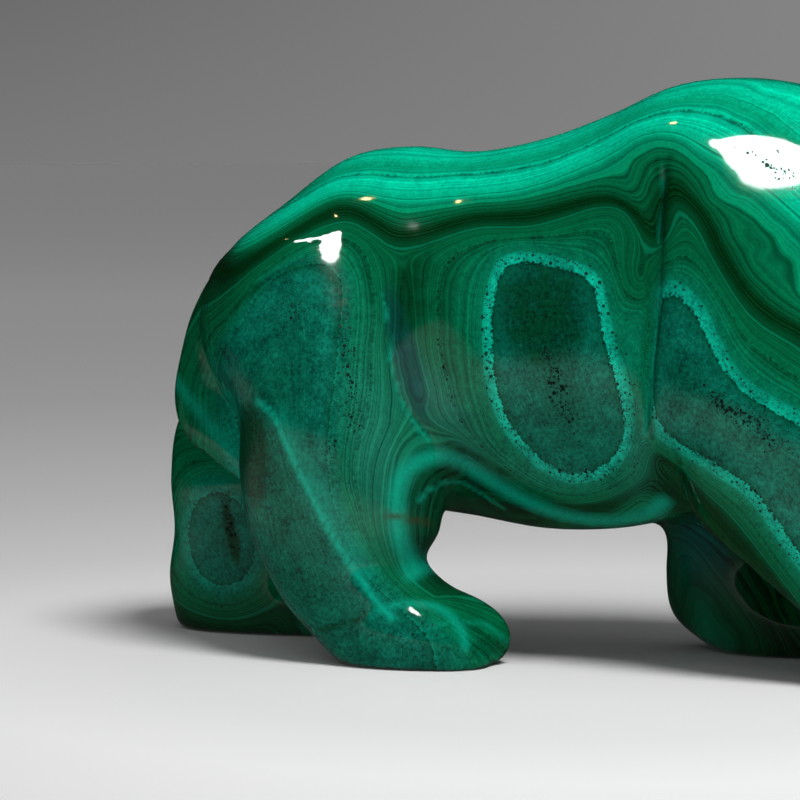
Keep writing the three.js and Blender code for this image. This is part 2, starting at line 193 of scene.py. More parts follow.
# side, line in side view, half width, depth, power of its profile, tapers at its start and end, how
# far from the middle plane it begins
grooves = [[-1, [[6.4, 57], [6.1, 52], [5.8, 44], [5.2, 37]], 0.8, 0.25, 1.2, 5, 8, 4]]
for side, line in ((-1, shoulderLine), (1, farShoulderLine)):
    grooves += [
        [side, line, 3.0, 1.05, 2.0, 5, 12, 4],
        [side, line, 1.1, 1.1, 1.2, 3, 9, 4],
        [side, mouthLine, 1.1, 0.9, 1.2, 0.1, 3, 0.4],
        [side, eyeLine, 0.9, 0.8, 1.2, 0.01, 0.01, 2],
        [side, browLine, 1.4, 0.5, 1.5, 2, 2, 2],
    ]


# rows of a loft at even steps, each number a Catmull-Rom spline p(f) through the ribs, with what is
# across level at the start: [mx, mz, wx, wz, middle, half, exponent, width], width = |run x w| / |run|
def ribRows(ribs):
    r = np.array(ribs, float)
    padded = np.vstack([2 * r[0] - r[1], r, 2 * r[-1] - r[-2]])
    padded[0, 4:] = r[1, 4:]
    s = np.linspace(0, len(r) - 1, carving["ribSamples"] + 1)
    i = np.minimum(s.astype(int), len(r) - 2)
    f = (s - i)[:, None]
    p0, p1, p2, p3 = (padded[i + k] for k in range(4))
    slope1, slope2, rise = (p2 - p0) / 2, (p3 - p1) / 2, p2 - p1
    v = p1 + f * (slope1 + f * (3 * rise - 2 * slope1 - slope2 + f * (slope1 + slope2 - 2 * rise)))
    ax, az, bx, bz = v[:, :4].T
    mx, mz, wx, wz = (ax + bx) / 2, (az + bz) / 2, (ax - bx) / 2, (az - bz) / 2
    at = np.arange(len(v))
    low, high = np.maximum(at - 1, 0), np.minimum(at + 1, len(v) - 1)
    runX, runZ = mx[high] - mx[low], mz[high] - mz[low]
    width = np.abs(runX * wz - runZ * wx) / np.hypot(runX, runZ)
    return np.column_stack([mx, mz, wx, wz, v[:, 4:], width])


# how each point in side view lies to the rib that passes through it, which is found where the side of
# the rib's line that the point is on changes; gives [across the rib, past the end, middle, half,
# exponent, width, cap]
def loftSide(ribs, startCap, endCap, x, z):
    rows = ribRows(ribs)
    first, last = rows[0], rows[-1]
    turn = np.sign((last[0] - first[0]) * first[3] - (last[1] - first[1]) * first[2])

    # how far ahead of a rib's line each point is, times half its length: (point - middle) x w
    def ahead(row):
        return turn * ((x - row[0]) * row[3] - (z - row[1]) * row[2])

    best = np.full(x.shape, np.inf)
    found = np.zeros((7,) + x.shape)
    found[3:] = 1

    # takes a rib where it is nearer than the one found so far, by the distance in side view
    def offer(where, row, over, cap):
        if not where.any():
            return
        xs, zs = x[where], z[where]
        mx, mz, wx, wz, middle, half, power, width = row
        u = ((xs - mx) * wx + (zs - mz) * wz) / (wx * wx + wz * wz) * width
        gauge = (np.abs(u / width) ** power + np.abs(over / cap) ** power) ** (1 / power)
        reach = np.hypot(u, over)
        d = reach - reach / np.maximum(gauge, tiny)
        better = d < best[where]
        at = tuple(n[better] for n in np.nonzero(where))
        best[at] = d[better]
        for k, value in enumerate([u, over, middle, half, power, width, cap]):
            found[k][at] = np.broadcast_to(value, xs.shape)[better]

    before = ahead(first)
    where = before < 0
    offer(where, first, before[where] / math.hypot(first[2], first[3]), startCap)
    for k in range(1, len(rows)):
        after = ahead(rows[k])
        where = (before >= 0) & (after < 0)
        if where.any():
            f = before[where] / (before[where] - after[where])
            row = rows[k - 1][:, None] * (1 - f) + rows[k][:, None] * f
            offer(where, row, np.zeros(len(f)), 1)
        before = after
    where = before >= 0
    offer(where, last, before[where] / math.hypot(last[2], last[3]), endCap)
    return found


# distance along the line from the middle: reach - reach / gauge, gauge the superellipsoid norm
def loftDistance(side, y):
    u, over, middle, half, power, width, cap = side
    v = y - middle
    powers = np.abs(u / width) ** power + np.abs(v / half) ** power + np.abs(over / cap) ** power
    gauge = powers ** (1 / power)
    reach = np.sqrt(u * u + v * v + over * over)
    return reach - reach / np.maximum(gauge, tiny)


# the same of an ellipsoid, in its own turned axes
def lumpDistance(lump, x, y, z):
    centre, radii, nose, out = lump[:4]
    tilt = Matrix.Rotation(math.radians(nose), 3, "Y")
    splay = Matrix.Rotation(-math.radians(out), 3, "X")
    turn = np.array((splay @ tilt).transposed())
    dx, dy, dz = x - centre[0], y - centre[1], z - centre[2]
    a, b, c = (turn[k, 0] * dx + turn[k, 1] * dy + turn[k, 2] * dz for k in range(3))
    gauge = np.sqrt((a / radii[0]) ** 2 + (b / radii[1]) ** 2 + (c / radii[2]) ** 2)
    reach = np.sqrt(a * a + b * b + c * c)
    return reach - reach / np.maximum(gauge, tiny)


# distance in side view to a line of points, each stretch by the foot of its perpendicular, with the
# length of the line up to the nearest foot and the whole length
def lineReach(line, x, z):
    best = np.full(np.broadcast(x, z).shape, np.inf)
    along = np.zeros(best.shape)
    passed = 0
    for (ax, az), (bx, bz) in zip(line, line[1:]):
        ex, ez = bx - ax, bz - az
        long = math.hypot(ex, ez)
        t = np.clip(((x - ax) * ex + (z - az) * ez) / (long * long), 0, 1)
        away = np.hypot(x - ax - t * ex, z - az - t * ez)
        along = np.where(away < best, passed + t * long, along)
        best = np.minimum(best, away)
        passed += long
    return best, along, passed


# the points of a line with Catmull-Rom points between them, round again where its ends meet
def smoothLine(line, steps):
    r = np.array(line, float)
    closed = np.allclose(r[0], r[-1])
    before = r[-2] if closed else 2 * r[0] - r[1]
    after = r[1] if closed else 2 * r[-1] - r[-2]
    padded = np.vstack([before, r, after])
    f = (np.arange(steps) / steps)[:, None, None]
    p0, p1, p2, p3 = padded[:-3], padded[1:-2], padded[2:-1], padded[3:]
    bend = 2 * p0 - 5 * p1 + 4 * p2 - p3
    twist = 3 * p1 - p0 - 3 * p2 + p3
    between = 0.5 * (2 * p1 + (p2 - p0) * f + bend * f**2 + twist * f**3)
    return np.vstack([between.transpose(1, 0, 2).reshape(-1, 2), r[-1]])


# least of two distances with a fillet: min(d, e) - max(width - |d - e|, 0)^2 / (4 width)
def join(d, e, width):
    near = np.maximum(width - np.abs(d - e), 0)
    return np.minimum(d, e) - near * near / (4 * np.maximum(width, tiny))


# width of a join, narrowed at the middle of its crease: width (1 - share exp(-r^4))
def joinWidth(width, crease, x, z):
    if crease is None:
        return width
    mx, mz, long, high = crease
    far = ((x - mx) / long) ** 2 + ((z - mz) / high) ** 2
    return width * (1 - carving["crispShare"] * np.exp(-far * far))


# the same lump on the other side: y and the lean outwards change their sign
def otherSide(lump):
    (x, y, z), radii, nose, out, width = lump
    return [[x, -y, z], radii, nose, -out, width]


# distance from the skin, at points whose x and z may be a grid in side view with y across it: lofts and
# lumps are joined, hollows and grooves are taken away, and the soles are cut at z = 0
def skin(x, y, z):
    flatX, flatZ = np.broadcast_arrays(x, z)
    full = None
    for ribs, startCap, endCap, width, crease in lofts:
        d = loftDistance(loftSide(ribs, startCap, endCap, flatX, flatZ), y)
        full = d if full is None else join(full, d, joinWidth(width, crease, flatX, flatZ))
    lumps = headLumps + [otherSide(n) for n in headLumps] + toeLumps + ears + [otherSide(n) for n in ears]
    for lump in lumps:
        full = join(full, lumpDistance(lump, x, y, z), lump[4])
    for lump in hollows:
        full = -join(-full, lumpDistance(lump, x, y, z), lump[4])
    tip = carving["grooveTip"]
    for side, line, half, depth, power, start, end, inner in grooves:
        away, along, long = lineReach(smoothLine(line, carving["grooveSteps"]), flatX, flatZ)
        taper = np.minimum(np.clip(along / start, 0, 1), np.clip((long - along) / end, 0, 1))
        taper = taper ** carving["grooveTaper"]
        away = np.sqrt(away * away + carving["grooveFloor"])
        room = np.maximum(1 - away / (half * (tip + (1 - tip) * taper)), 0)
        full = full + depth * taper * room**power * np.clip(side * y / inner - 1, 0, 1)
    return -join(-full - carving["inset"], z, carving["soleRound"])


# surface net: one point in each cell that the skin passes through, at the mean of its edge cuts, and
# one quad round each edge of the grid that the skin cuts
def net(step):
    x, y = (np.arange(low, high + step, step) for low, high in (carving["gridX"], carving["gridY"]))
    z = np.arange(-step / 2, carving["gridTop"] + step, step)
    flatX, flatZ = np.meshgrid(x, z, indexing="ij")
    value = skin(flatX[:, None, :], y[None, :, None], flatZ[:, None, :])
    inside = value < 0
    shape = np.array(value.shape) - 1
    total = np.zeros(tuple(shape) + (3,))
    count = np.zeros(tuple(shape))
    base = np.stack(np.meshgrid(*[np.arange(n) for n in shape], indexing="ij"), -1).astype(float)
    corner = [(a, b, c) for a in (0, 1) for b in (0, 1) for c in (0, 1)]

    # the grid's values at one corner of each cell
    def part(array, c):
        return array[c[0] : c[0] + shape[0], c[1] : c[1] + shape[1], c[2] : c[2] + shape[2]]

    for a in corner:
        for axis in range(3):
            if a[axis]:
                continue
            b = tuple(v + (n == axis) for n, v in enumerate(a))
            va, vb = part(value, a), part(value, b)
            cut = part(inside, a) != part(inside, b)
            f = np.where(cut, va / np.where(cut, va - vb, 1), 0)
            for n in range(3):
                total[..., n] += cut * (a[n] + (f if n == axis else 0))
            count += cut
    used = count > 0
    index = np.full(tuple(shape), -1)
    index[used] = np.arange(used.sum())
    points = base[used] + total[used] / count[used][:, None]
    points = points * step + [x[0], y[0], z[0]]
    faces = []
    for axis in range(3):
        u, v = (axis + 1) % 3, (axis + 2) % 3
        first = [slice(1, -1)] * 3
        second = list(first)
        first[axis], second[axis] = slice(0, -1), slice(1, None)
        change = inside[tuple(first)] != inside[tuple(second)]
        at = np.argwhere(change)
        at[:, u] += 1
        at[:, v] += 1
        quad = []
        for du, dv in [(1, 1), (0, 1), (0, 0), (1, 0)]:
            cell = at.copy()
            cell[:, u] -= du
            cell[:, v] -= dv
            quad.append(index[cell[:, 0], cell[:, 1], cell[:, 2]])
        quad = np.stack(quad, 1)
        outward = inside[at[:, 0], at[:, 1], at[:, 2]]
        quad[~outward] = quad[~outward][:, ::-1]
        faces.append(quad)
    return points, np.vstack(faces)


# each point moved on to the skin by d slope / |slope|^2, with the slope of the distance by differences
def ontoSkin(points, rounds):
    p = points.copy()
    h, most = carving["slopeStep"], carving["longestStep"]
    for _ in range(rounds):
        x, y, z = p.T
        d = skin(x, y, z)
        slope = np.column_stack([skin(x + h, y, z) - d, skin(x, y + h, z) - d, skin(x, y, z + h) - d]) / h
        steep = np.maximum((slope**2).sum(1), carving["slopeLeast"])
        p -= (np.clip(d, -most, most) / steep)[:, None] * slope
    return p


points, quads = net(carving["cell"])
say(f"net with {len(points)} points, {len(quads)} quads")
points = ontoSkin(points, carving["rounds"])
points[:, 2] = np.maximum(points[:, 2], 0)
say("drawn on to the skin")

mesh = bpy.data.meshes.new("carvedPanther")
place = (points - [carving["drawnMiddle"], 0, 0]) * mm
mesh.vertices.add(len(place))
mesh.vertices.foreach_set("co", place.astype(np.float32).ravel())

# each quad is cut along its shorter diagonal
a, b, c, d = (place[quads[:, k]] for k in range(4))
shorter = np.linalg.norm(a - c, axis=1) < np.linalg.norm(b - d, axis=1)
triangles = np.where(
    shorter[:, None],
    quads[:, [0, 1, 2, 0, 2, 3]],
    quads[:, [0, 1, 3, 1, 2, 3]],
).reshape(-1, 3)
mesh.loops.add(triangles.size)
mesh.loops.foreach_set("vertex_index", triangles.astype(np.int32).ravel())
mesh.polygons.add(len(triangles))
mesh.polygons.foreach_set("loop_start", np.arange(0, triangles.size, 3, dtype=np.int32))
mesh.polygons.foreach_set("use_smooth", np.ones(len(triangles), bool))
mesh.update()
mesh.validate()
panther = bpy.data.objects.new("carvedPanther", mesh)
bpy.context.scene.collection.objects.link(panther)
say(f"mesh with {len(triangles)} triangles")

# the growth of the stone: a level at each point, worked out from lines drawn on both sides

growing = {
    "shrink": 0.1,  # the levels are solved in centimetres
    "squeeze": 0.35,  # share of a distance across the animal that counts
    "slack": 0.01,  # how far the levels may miss the lines
    "atOnce": 20000,  # points that are worked out together
    "ringAcross": 0.15,  # share of a distance across that counts for a ring's brightness
    "lineSteps": 4,  # between two points of a growth line
    "outlineSteps": 5,
    "heartSteps": 3,
    "ringSteps": 2,  # of an outline, where its brightness is worked out
}

# nodules: y, width of the bright ring, its brightness, level at the heart, outline in side view, which
# is closed where its ends meet, and heart line
nodules = [
    [-15, 1.4, 1, -3,
     [[-5.5, 50.6], [-1.5, 49.7], [0.6, 48], [1.1, 45], [2, 41], [3.4, 36.5], [4.3, 32], [3.7, 28.5],
      [1.3, 25.8], [-2.3, 24.5], [-5, 25], [-8.2, 27.7], [-10.6, 30.7], [-12.1, 34.4], [-12.8, 39.5],
      [-12.9, 44.5], [-12.3, 48.1], [-11.4, 50.2], [-9.3, 50.9], [-5.5, 50.6]],
     [[-5.8, 44], [-4.5, 38], [-2.5, 31]]],
    [-15, 1.7, 0.75, -3,
     [[38, 2], [33, 9], [27, 17], [24.5, 20.5], [21.5, 24.3], [17, 26.8], [12, 29.5], [9, 32], [8.1, 36],
      [8.3, 42], [9.5, 47.3], [12, 47], [14.5, 44.3], [17.5, 39], [21.5, 35.3], [27, 32.3], [33, 28],
      [39, 20], [45, 10], [49, 2]],
     [[12, 38], [17, 34], [22, 29], [30, 22], [38, 11], [43, 4]]],
    [-15, 0.8, 0.12, -3,
     [[-52, 34], [-49, 38.5], [-45, 43.5], [-42.5, 47.5], [-38.5, 49.9], [-35, 50.4], [-32.5, 48.6],
      [-31.8, 45.5], [-31.8, 40], [-32.2, 34], [-33, 28], [-32.5, 22], [-30, 15], [-26, 10], [-20, 5]],
     [[-42, 36], [-40, 28], [-39, 18], [-35, 9]]],
    [15, 1.9, 0.9, -3,
     [[-20, 48], [-14, 51], [-6, 50], [-1, 45], [0, 38], [-4, 31], [-11, 28], [-18, 31], [-22, 38],
      [-23, 44], [-20, 48]],
     [[-13, 44], [-10, 38], [-11, 34]]],
    [15, 2, 0.8, -2,
     [[13, 36], [16, 41], [21, 43], [26, 40], [28, 33], [25, 26], [19, 22], [14, 24], [11.5, 30],
      [13, 36]],
     [[19, 37], [21, 31], [19, 27]]],
    [15, 1.6, 0.7, -2,
     [[-47, 39], [-42, 44], [-36, 44], [-33, 38], [-36, 30], [-43, 26], [-49, 31], [-47, 39]],
     [[-43, 38], [-40, 34], [-42, 31]]],
    [12, 1.2, 0.3, -2,
     [[-59.5, 17.5], [-56, 19], [-52.5, 16], [-52, 10], [-55, 6.5], [-59, 7.5], [-61, 12], [-59.5, 17.5]],
     [[-57, 16], [-56, 12], [-55, 9.5]]],
]

# other growth lines: level, y, points in side view
growthLines = [
    [3, -15, [[-49, 46], [-43, 50.2], [-37.5, 53.8], [-33, 55.7], [-29.5, 54.4], [-26, 52.4],
        [-22.5, 52.8], [-16, 55], [-9, 55.2], [-4, 56.4], [0, 57.7], [3.5, 57.7], [5.6, 55.8], [6.8, 53],
        [7.4, 47], [7.3, 40], [7.2, 32]]],
    [2.1, -15, [[-19.5, 49], [-20, 44], [-19.3, 38], [-17.6, 32], [-14.5, 27.3], [-9, 22.8], [-4, 21.2],
        [1, 22.2], [5, 24.8]]],
    [4, -15, [[-51, 47.5], [-46, 49.9], [-40, 53.6], [-34, 57.1], [-29.5, 55.8], [-26, 54], [-22, 54.4],
        [-15, 56], [-9, 56.6], [-3, 58], [2, 58.9], [5.5, 57.2], [7.5, 55]]],
    [5, -14, [[-50, 51.5], [-45, 53.4], [-40, 56.6], [-35, 59.3], [-27, 58.5], [-20, 58.6], [-12, 59.5],
        [-5, 61.8], [1, 64.2], [6, 66.8], [10.5, 66.8], [13.6, 65], [18.5, 62.4], [23.5, 59.2], [28, 55],
        [36, 49], [44, 51], [54, 53], [64, 50]]],
    [6, -12, [[-49, 54.4], [-45, 56.2], [-40, 58.6], [-36, 60.7], [-32, 61.4], [-24, 61], [-15, 61.8],
        [-7.5, 63.2], [-1, 65.9], [5, 68.4], [11, 69.6], [17.5, 68.2], [26, 62], [36, 54], [46, 56.5],
        [56, 57]]],
    [7, 0, [[-50, 57], [-44, 59.5], [-36, 64], [-28, 65], [-20, 64.4], [-10, 66], [-1, 69.3], [7.5, 72.8],
        [15.5, 74], [24, 72.6], [32, 70], [40, 66], [50, 62.5], [58, 60]]],
    [4.6, -15, [[14.9, 58.9], [18.8, 56.8], [21.2, 54.3], [23.6, 51.7], [25.9, 49.3]]],
    [4, -15, [[11, 60.2], [14, 57.5], [17, 52.3], [19.5, 48.5], [22.5, 45.8], [26.6, 43.6], [34, 40],
        [44, 43], [54, 47], [66, 45]]],
    [3, -15, [[11.3, 58], [14, 55.5], [16.5, 51], [20, 46], [23, 43.8], [26.7, 42], [34, 37], [44, 39.5],
        [54, 43], [66, 41]]],
    [2, -12, [[40, 33], [48, 36], [58, 39], [66, 38]]],
    [4, -15, [[9, 28], [12.5, 24.8], [18, 19.3], [22.5, 14], [26, 9.3], [31, 3]]],
    [2, -15, [[-50, 41.5], [-45.5, 45.5], [-41.5, 49.5], [-37.5, 52.4], [-34, 53.5], [-31, 52.4],
        [-29.2, 49.3], [-28.3, 45], [-28.5, 38], [-29, 33], [-31, 27], [-31.5, 21], [-29.5, 15],
        [-26, 10.5]]],
    [2.6, -15, [[-26.6, 41], [-25.4, 35.5], [-25, 32], [-27, 28.3], [-28.6, 25], [-28.7, 20],
        [-27.5, 15.5], [-24, 10], [-18, 8]]],
    [2.85, -15, [[-24.8, 50.6], [-24, 46], [-23.2, 40], [-22, 34]]],
    [4, -15, [[-17.5, 27.2], [-15, 25.6], [-11.5, 22.3], [-8, 20.5], [-4, 20], [1, 20.9], [7, 23.8]]],
    [3.2, -15, [[-20, 9], [-23.2, 12.5], [-24.4, 18], [-24.4, 23], [-22.5, 26.3], [-19.5, 26.4]]],
    [4.7, -15, [[-14.5, 23.5], [-12, 21.4], [-8, 19.3], [-3, 18.5], [2, 19.5], [5.5, 21.2]]],
    [3.6, -14, [[8.2, 25], [10.5, 21.5], [14, 17.5], [18, 13]]],
    [4.1, -12, [[-19.5, 12.5], [-22.5, 15], [-21.5, 20.5], [-19.5, 23.3], [-16, 22.4], [-12.5, 20],
        [-9, 17.5]]],
    [4.2, -2, [[-24, 18], [-16, 17.5], [-8, 16], [0, 16.2], [8, 18]]],
    [3, 15, [[-52, 44], [-46, 49], [-38, 52.5], [-32, 52], [-28, 49], [-24, 53], [-14, 55.5], [-4, 55],
        [3, 52], [7, 48], [12, 49], [20, 49], [28, 46], [33, 41], [44, 40], [54, 42], [66, 41]]],
    [4, 15, [[-50, 48], [-44, 52.5], [-36, 55.5], [-30, 56], [-24, 57], [-14, 58], [-4, 57.6], [4, 55.5],
        [9, 54], [14, 54], [22, 53], [29, 49], [35, 44], [44, 44], [54, 47], [66, 45]]],
    [5, 14, [[-50, 52], [-43, 56], [-36, 59], [-28, 60], [-20, 60.5], [-12, 61], [-4, 61], [3, 60],
        [9, 60.5], [16, 60.5], [24, 57.5], [30, 54], [36, 49], [44, 50], [54, 52], [64, 50]]],
    [6, 12, [[-49, 55], [-42, 59], [-34, 62], [-24, 62.4], [-14, 63.4], [-6, 64.4], [2, 66.5], [9, 68.4],
        [17, 68], [26, 63.5], [36, 55], [46, 57], [56, 57]]],
    [4, 15, [[-28, 46], [-27, 38], [-26, 30], [-18, 24.5], [-10, 23], [-3, 25], [3, 30], [6, 37],
        [7, 43]]],
    [5, 14, [[-32, 18], [-26, 23], [-18, 20.5], [-8, 18.5], [2, 20], [8, 25]]],
    [3, 12, [[-65, 26], [-59, 25.5], [-52, 22], [-50, 14], [-51, 6], [-58, 3.5], [-65, 5]]],
    [4, 12, [[-66, 1.5], [-56, 1], [-48, 3], [-44, 9], [-43, 18], [-42, 24]]],
    [3, 12, [[4, 20], [8, 14], [10, 8], [16, 3]]],
    [4, 12, [[10, 24], [14, 17], [17, 11], [24, 5]]],
    [3, 2, [[-62, 30], [-60, 37], [-56, 44], [-50, 50]]],
    [2, 0, [[-55, 27], [-57, 33], [-55, 39]]],
]


# the points of a line moved to the left of its run: point + by * run turned by a quarter
def beside(points, by):
    run = np.gradient(points, axis=0)
    run /= np.linalg.norm(run, axis=1, keepdims=True)
    return points + by * np.column_stack([-run[:, 1], run[:, 0]])


# rows of [x, y, z, level] along all lines: a nodule's outline is level 0, and its ring ends at level 1
def growthPoints():
    rows = []

    def addLine(height, y, line):
        ys, levels = (np.full(len(line), value) for value in (y, height))
        rows.append(np.column_stack([line[:, 0], ys, line[:, 1], levels]))

    for y, ring, _, deep, outline, heart in nodules:
        edge = smoothLine(outline, growing["outlineSteps"])
        addLine(0, y, edge)
        addLine(1, y, beside(edge, ring))
        addLine(deep, y, smoothLine(heart, growing["heartSteps"]))
    for height, y, line in growthLines:
        addLine(height, y, smoothLine(line, growing["lineSteps"]))
    return np.vstack(rows)


# level(p) = c + sum of w |p - q| over the points q of the lines, with the weights w and the constant c
# solved so that every line gets its own level
def growthAt(p):
    rows = growthPoints()
    shrink = growing["shrink"] * np.array([1, growing["squeeze"], 1])
    q = rows[:, :3] * shrink
    full = np.ones((len(q) + 1,) * 2)
    full[:-1, :-1] = np.linalg.norm(q[:, None] - q[None], axis=2) - growing["slack"] * np.eye(len(q))
    full[-1, -1] = 0
    weights = np.linalg.solve(full, np.append(rows[:, 3], 0))
    out = np.empty(len(p))
    for start in range(0, len(p), growing["atOnce"]):
        span = slice(start, start + growing["atOnce"])
        r = p[span] * shrink
        square = (r**2).sum(1)[:, None] + (q**2).sum(1)[None] - 2 * r @ q.T
        out[span] = np.sqrt(np.maximum(square, 0)) @ weights[:-1] + weights[-1]
    return out


level = growthAt(points)
say(f"growth levels from {level.min():.1f} to {level.max():.1f}")

spotting = {
    "fall": 1.2,  # how fast a spot fades at its half size
    "fadeAcross": 5,  # mm across the animal in which it comes up
    "atMiddle": 0.2,  # share of it that shows at the middle plane
    "most": 1.3,  # where spots overlap
    "lineSteps": 6,  # between two points of a bright, dark or rusty line
}

# spots: strength, side, middle in side view, half length, half width, lean in degrees, crispness
# dark green clouds of the stone, and painted shade where some of the spots lie in hollows
murkAndShadeSpots = [
    [1, -1, [-6.2, 44.8], 7, 6.6, 90, 3],  # top of the ribs' eye
    [1.1, -1, [-43.6, 26.4], 6.6, 3, 94, 4],  # leaf on the hind leg
    [0.9, -1, [-24, 46.5], 8, 2.6, 84, 1],  # valley before the thigh
    [0.45, -1, [-19.5, 47.5], 8, 4, 80, 1],
    [0.8, -1, [-18.2, 20.6], 3.8, 1.8, 14, 1],  # groin
    [0.7, -1, [-55.6, 23.8], 5.5, 1.3, -35, 3],  # painted shade under the tail
    [0.7, -1, [-14, 2.6], 2.2, 1.6, 20, 2],  # painted shade at the tip of the hind paw
    [1.3, 1, [-54.8, 13.8], 4.8, 0.9, -80, 3],  # blotch on the far hind leg
    [0.8, 1, [-10, 44], 7, 5, 90, 1],
    [0.7, 1, [22, 33], 5, 3, 60, 1],
]
# milky grey tone, partly the stone's own and partly a painted reflection of the floor
milkAndReflectionSpots = [
    [0.9, -1, [-27, 27], 14, 4.5, 97, 1],  # leg beside the groin
    [0.9, -1, [-19.5, 32.5], 9.5, 3.2, -55, 1],  # flank behind the crease
    [0.7, -1, [6, 28], 6, 2.4, 75, 1],  # elbow
    [0.5, -1, [-6, 24.5], 9, 2.5, -8, 1],
]
slateSpots = [
    [1, -1, [-24.1, 39], 9.2, 1.7, 104, 3],  # facet before the thigh
    [0.6, 1, [-27, 39], 8, 1.7, 100, 3],
    [0.9, 1, [9, 15], 7, 5, 85, 1],  # inside of the far foreleg
]
speckledSpots = [
    [1.3, -1, [-4.3, 35.8], 6.2, 1.2, 107, 1],  # heart of the ribs' eye
    [0.5, -1, [-4.5, 36], 9, 5, 100, 1],
    [1.2, -1, [19.5, 33.5], 8, 1.5, -32, 1],  # heart of the shoulder's
    [0.5, -1, [24, 27], 10, 4, -45, 1],
    [1.2, -1, [22, 63.3], 7, 0.7, -24, 2],  # in the shoulder's highlight
    [1, -1, [24.5, 60.6], 4, 0.6, -28, 2],
    [0.8, -1, [-38.5, 44.5], 5, 3.5, 70, 1],  # thigh
    [0.8, -1, [-30.3, 37], 8, 1.4, 96, 1],
    [0.7, -1, [-31.5, 29], 5, 1.6, 60, 1],
    [0.6, -1, [-40, 17.5], 9, 2.6, -62, 1],
    [0.8, -1, [-24.5, 4.6], 6, 1.8, 0, 1],  # hind paw
    [1.3, 1, [-54.8, 13.8], 5.4, 1.2, -80, 2],
    [0.9, 1, [-10.5, 38], 5, 1.4, 90, 1],
    [0.8, 1, [20.5, 32], 4, 1.5, 60, 1],
    [0.5, 1, [-41, 35], 4, 2.5, 60, 1],
]


# sum of strength * exp(-fall r^(2 crispness)), with r the distance in half sizes, on each spot's side
def spotted(spots, p):
    x, y, z = p.T
    total = np.zeros(len(p))
    for strength, side, (mx, mz), long, wide, lean, crisp in spots:
        c, s = math.cos(math.radians(lean)), math.sin(math.radians(lean))
        along, across = (x - mx) * c + (z - mz) * s, (z - mz) * c - (x - mx) * s
        far = (along / long) ** 2 + (across / wide) ** 2
        onSide = np.clip(side * y / spotting["fadeAcross"] + spotting["atMiddle"], 0, 1)
        total += strength * np.exp(-spotting["fall"] * far**crisp) * onSide
    return np.minimum(total, spotting["most"])


# lines on the near side: strength, half width, width of the soft edge inside it, points in side view
brightLines = [
    [0.95, 0.6, 0.5, [[-42.5, 33.2], [-39.9, 31.1], [-37.7, 26.6], [-35.3, 22.2], [-32.7, 17.5],
        [-30.6, 14.2], [-28.8, 11.6], [-26.8, 8.9], [-24.5, 6.6]]],  # vein down the hind leg
    [0.35, 2.2, 2, [[-38.9, 31.1], [-36.7, 26.6], [-34.3, 22.2], [-31.7, 17.5], [-28.2, 12]]],
    [0.62, 1.5, 1.3, [[-22.8, 12], [-24, 16], [-24.3, 19.4], [-24.4, 22], [-23.7, 24.6], [-22, 26],
        [-20, 26.4], [-17.7, 25.6], [-15.2, 24], [-12.6, 22.2], [-9.4, 20.4], [-5, 18.8], [0, 18.2],
        [5, 19.2], [8.2, 21.4]]],  # arch in the groin
    [0.45, 0.35, 0.35, [[-22, 21], [-21.3, 22.2], [-19.6, 23], [-17.8, 22.7], [-15.6, 21.2],
        [-13.6, 19.6]]],
    [0.6, 0.26, 0.24, [[-27.1, 46.6], [-26.4, 43], [-25.9, 38], [-25.3, 34.8], [-23.9, 31.4],
        [-21.4, 28.2]]],
    [0.55, 0.6, 0.5, [[-27.3, 7], [-23.8, 8.3], [-20.3, 8.2], [-17.8, 6.9], [-16.2, 5], [-15.6, 2.8]]],  # paw
    [0.35, 0.3, 0.3, [[-22.4, 4.4], [-18.4, 6], [-15, 5.6], [-12.4, 3.2]]],
    [0.4, 1.3, 1, [[-60.4, 34.3], [-56, 30.2], [-50.5, 24.6]]],  # tail
    # painted highlight along the bottom of the shoulder groove
    [0.3, 0.28, 0.25, shoulderLine],
]
darkLines = [
    [0.75, 1, 0.9, [[-47, 44], [-44.5, 46.4], [-40.8, 48.7], [-36.7, 50.2], [-33.6, 48.8], [-32.2, 46.1],
        [-31.9, 42]]],
    [0.85, 1, 1, [[-19.4, 27.9], [-16.5, 26.9], [-12.8, 24.8], [-9.2, 22.4], [-4.5, 20.4], [1, 20]]],
    [0.75, 0.9, 0.9, [[-22.8, 19], [-22.6, 21.8], [-21.2, 23.8], [-19.4, 24.3], [-17, 23.7],
        [-14.4, 21.8], [-11.8, 19.8]]],
    # painted shade in the crease behind the hind paw
    [0.8, 0.8, 0.6, [[-34.4, 4.4], [-29.3, 6.1], [-27.2, 7.5]]],
    # painted shade in the shoulder groove, on both sides of its bottom
    [0.55, 0.8, 0.6, [[x + 0.9, z] for x, z in shoulderLine]],
    [0.45, 0.8, 0.6, [[x - 0.9, z] for x, z in shoulderLine]],
    # painted shade in the crease at the elbow
    [0.7, 0.7, 0.6, [[10.8, 29.9], [12.2, 25], [13.9, 20]]],
]
rustLines = [[1, 0.55, 0.5, [[-25.6, 19.5], [-23.4, 18.9], [-21.3, 18.2]]]]


# the strongest of the lines, each flat in its middle: strength min((half - away) / edge, 1)
def lined(lines, p):
    x, y, z = p.T
    total = np.zeros(len(p))
    for strength, half, edge, line in lines:
        away, _, _ = lineReach(smoothLine(line, spotting["lineSteps"]), x, z)
        total = np.maximum(total, strength * np.clip((half - away) / edge, 0, 1) * (y < 0))
    return total


# how bright the rings are: the nodules' own brightness, in proportion to 1 / (distance + 1)^3
def ringGlow(p):
    x, y, z = p.T
    total, weight = np.zeros(len(p)), np.zeros(len(p))
    for middle, _, brightness, _, outline, _ in nodules:
        away, _, _ = lineReach(smoothLine(outline, growing["ringSteps"]), x, z)
        near = 1 / (away + growing["ringAcross"] * np.abs(y - middle) + 1) ** 3
        total += brightness * near
        weight += near
    return total / weight


# a number for each point of the mesh, which the material reads by its name
def keep(name, values):
    mesh.attributes.new(name, "FLOAT", "POINT").data.foreach_set("value", values.astype(np.float32))


